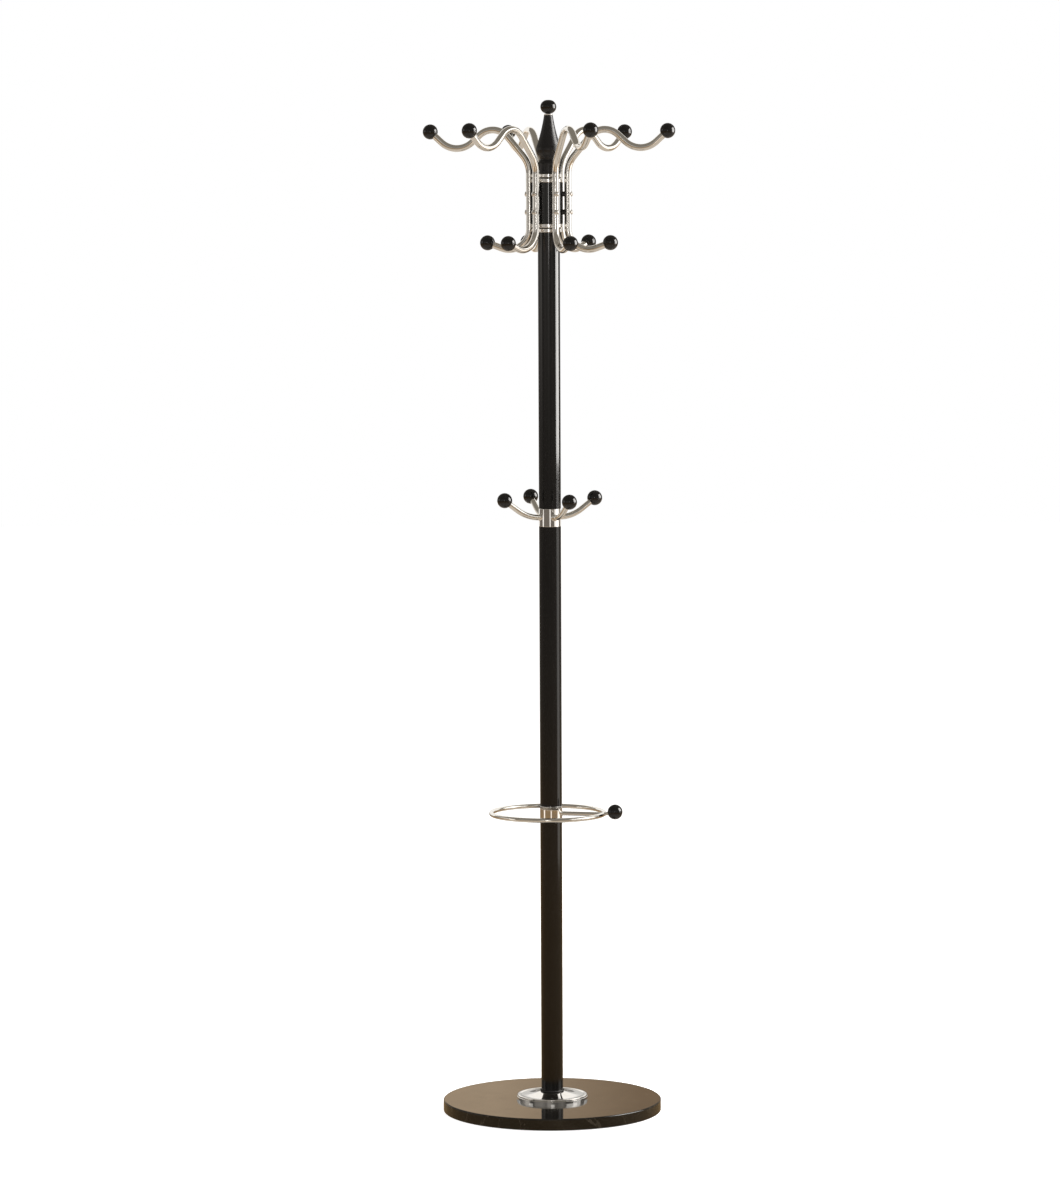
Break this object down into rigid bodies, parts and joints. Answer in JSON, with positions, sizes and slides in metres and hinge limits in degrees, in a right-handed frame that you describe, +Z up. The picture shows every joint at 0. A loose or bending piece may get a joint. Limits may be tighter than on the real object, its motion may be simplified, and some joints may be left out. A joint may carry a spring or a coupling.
{
  "type": "coat rack",
  "caption": "Standing coat rack: round polished base, slim post, umbrella ring, fixed mid hooks and a turning crown of bent double hooks with ball knobs under a finial.",
  "frame": {"origin": "on the floor under the centre of the post, at the middle of the base", "axes": "+Z up along the post; the umbrella ring's knob is towards +X, turned slightly to -Y, which is the front"},
  "size_m": [0.4336, 0.416, 1.758],
  "materials": {
    "base_stone": "polished",
    "foot_rubber": "matte",
    "steel": "satin",
    "chrome_trim": "polished",
    "chrome_tube": "polished",
    "screw_chrome": "polished",
    "post_black": "gloss",
    "hub_black": "gloss",
    "finial_black": "satin",
    "knob_black": "gloss",
    "black_trim": "satin",
    "bush_plastic": "satin"
  },
  "bodies": {
    "stand": {"base_disc": "base_stone", "base_feet": "foot_rubber", "base_washer": "steel", "base_bolt": "steel", "base_flange": "chrome_trim", "flange_gasket": "black_trim", "lower_tube": "post_black", "lower_tube_foot_plug": "steel", "middle_tube": "post_black", "upper_tube": "post_black", "tube_plugs": "steel", "joint_studs": "steel", "ring_collar": "chrome_trim", "umbrella_ring": "chrome_tube", "ring_arm": "chrome_tube", "ring_knob_stub": "chrome_tube", "ring_knob": "knob_black", "hook_collar": "chrome_trim", "mid_knobs": "knob_black", "spindle_plug": "steel", "spindle": "steel", "lower_stop_ring": "chrome_trim", "thrust_washers": "black_trim", "upper_stop_ring": "chrome_trim", "spindle_nut": "steel", "top_spacer": "finial_black", "finial": "finial_black", "finial_stud": "steel", "finial_neck_ring": "chrome_trim", "finial_ball": "knob_black", "mid_hook_1": "chrome_tube", "mid_hook_2": "chrome_tube", "mid_hook_3": "chrome_tube", "mid_hook_4": "chrome_tube"},
    "crown": {"hub_lower_ring": "chrome_trim", "hub_lower_bush": "bush_plastic", "hub_sleeve": "hub_black", "hub_upper_bush": "bush_plastic", "hub_upper_ring": "chrome_trim", "double_hook_1": "chrome_tube", "double_hook_2": "chrome_tube", "double_hook_3": "chrome_tube", "double_hook_4": "chrome_tube", "double_hook_5": "chrome_tube", "double_hook_6": "chrome_tube", "upper_knob_1": "knob_black", "upper_knob_2": "knob_black", "upper_knob_3": "knob_black", "upper_knob_4": "knob_black", "upper_knob_5": "knob_black", "upper_knob_6": "knob_black", "lower_knob_1": "knob_black", "lower_knob_2": "knob_black", "lower_knob_3": "knob_black", "lower_knob_4": "knob_black", "lower_knob_5": "knob_black", "lower_knob_6": "knob_black", "hook_saddles": "black_trim", "hook_screws": "screw_chrome"}
  },
  "joints": [
    {"name": "crown_turn", "type": "hinge", "parent": "stand", "child": "crown", "pos_m": [0, 0, 1.5815], "axis": [0, 0, 1], "continuous": true}
  ]
}
